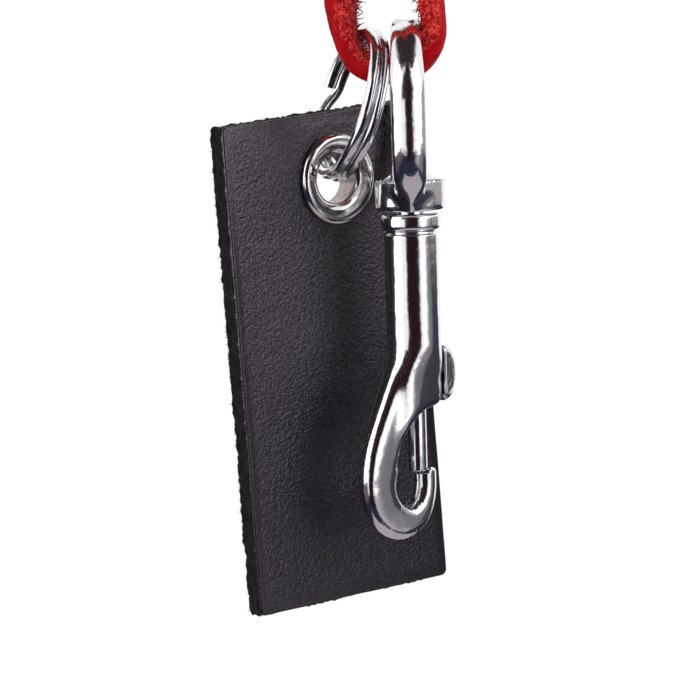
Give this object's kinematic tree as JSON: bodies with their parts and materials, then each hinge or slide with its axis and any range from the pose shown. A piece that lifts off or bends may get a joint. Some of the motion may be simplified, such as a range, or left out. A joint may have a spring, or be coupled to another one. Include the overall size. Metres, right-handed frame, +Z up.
{
  "type": "leather hang tag with swivel bolt snap",
  "caption": "Leather tag with an eyelet on a split ring, and a swivel bolt snap with a sprung bolt, both strung on a knotted leather lace loop.",
  "frame": {"origin": "the middle of the hanging loop, just under the knot, where a peg or strap button goes through the lace", "axes": "+Z up, along the hanging part; the tag lies in the XZ plane with its grain side facing -Y, and the hook opens towards +X"},
  "size_m": [0.0448, 0.0333, 0.1409],
  "materials": {
    "red_lace": "smooth red leather lace with suede edges",
    "black_leather": "black pebbled leather with a soft sheen and raw edges",
    "chrome": "polished chrome plate",
    "nickel": "polished nickel plate",
    "spring_steel": "bare spring wire"
  },
  "bodies": {
    "lace": {"lace_loop": "red_lace", "lace_knot": "red_lace"},
    "ring": {"split_ring": "chrome"},
    "tag": {"leather_tag": "black_leather", "eyelet": "nickel", "eyelet_washer": "nickel"},
    "eye": {"swivel_eye": "chrome"},
    "snap": {"snap_body": "chrome", "swivel_rivet": "chrome", "bolt_spring": "spring_steel"},
    "plunger": {"bolt": "chrome", "thumb_knob": "chrome"}
  },
  "joints": [
    {"name": "ring_swing", "type": "hinge", "parent": "lace", "child": "ring", "pos_m": [-0.001, 0.00185, -0.0228], "axis": [0.8801, -0.3682, -0.2999], "range_deg": [0, 45]},
    {"name": "tag_swing", "type": "hinge", "parent": "ring", "child": "tag", "pos_m": [-0.00542, 0.00925, -0.04009], "axis": [0, 1, 0], "range_deg": [-22, 22]},
    {"name": "snap_swing", "type": "hinge", "parent": "lace", "child": "eye", "pos_m": [0.00171, -0.00296, -0.0226], "axis": [-0.766, 0.6428, 0], "range_deg": [0, 65]},
    {"name": "swivel_turn", "type": "hinge", "parent": "eye", "child": "snap", "pos_m": [0.0005, -0.0044, -0.0439], "axis": [0, 0, 1], "continuous": true},
    {"name": "bolt_slide", "type": "slide", "parent": "snap", "child": "plunger", "axis": [0, 0, 1], "range_m": [0, 0.0084], "stiffness_N_per_m": 250, "springref_m": -0.006, "deforming": ["bolt_spring"]}
  ]
}
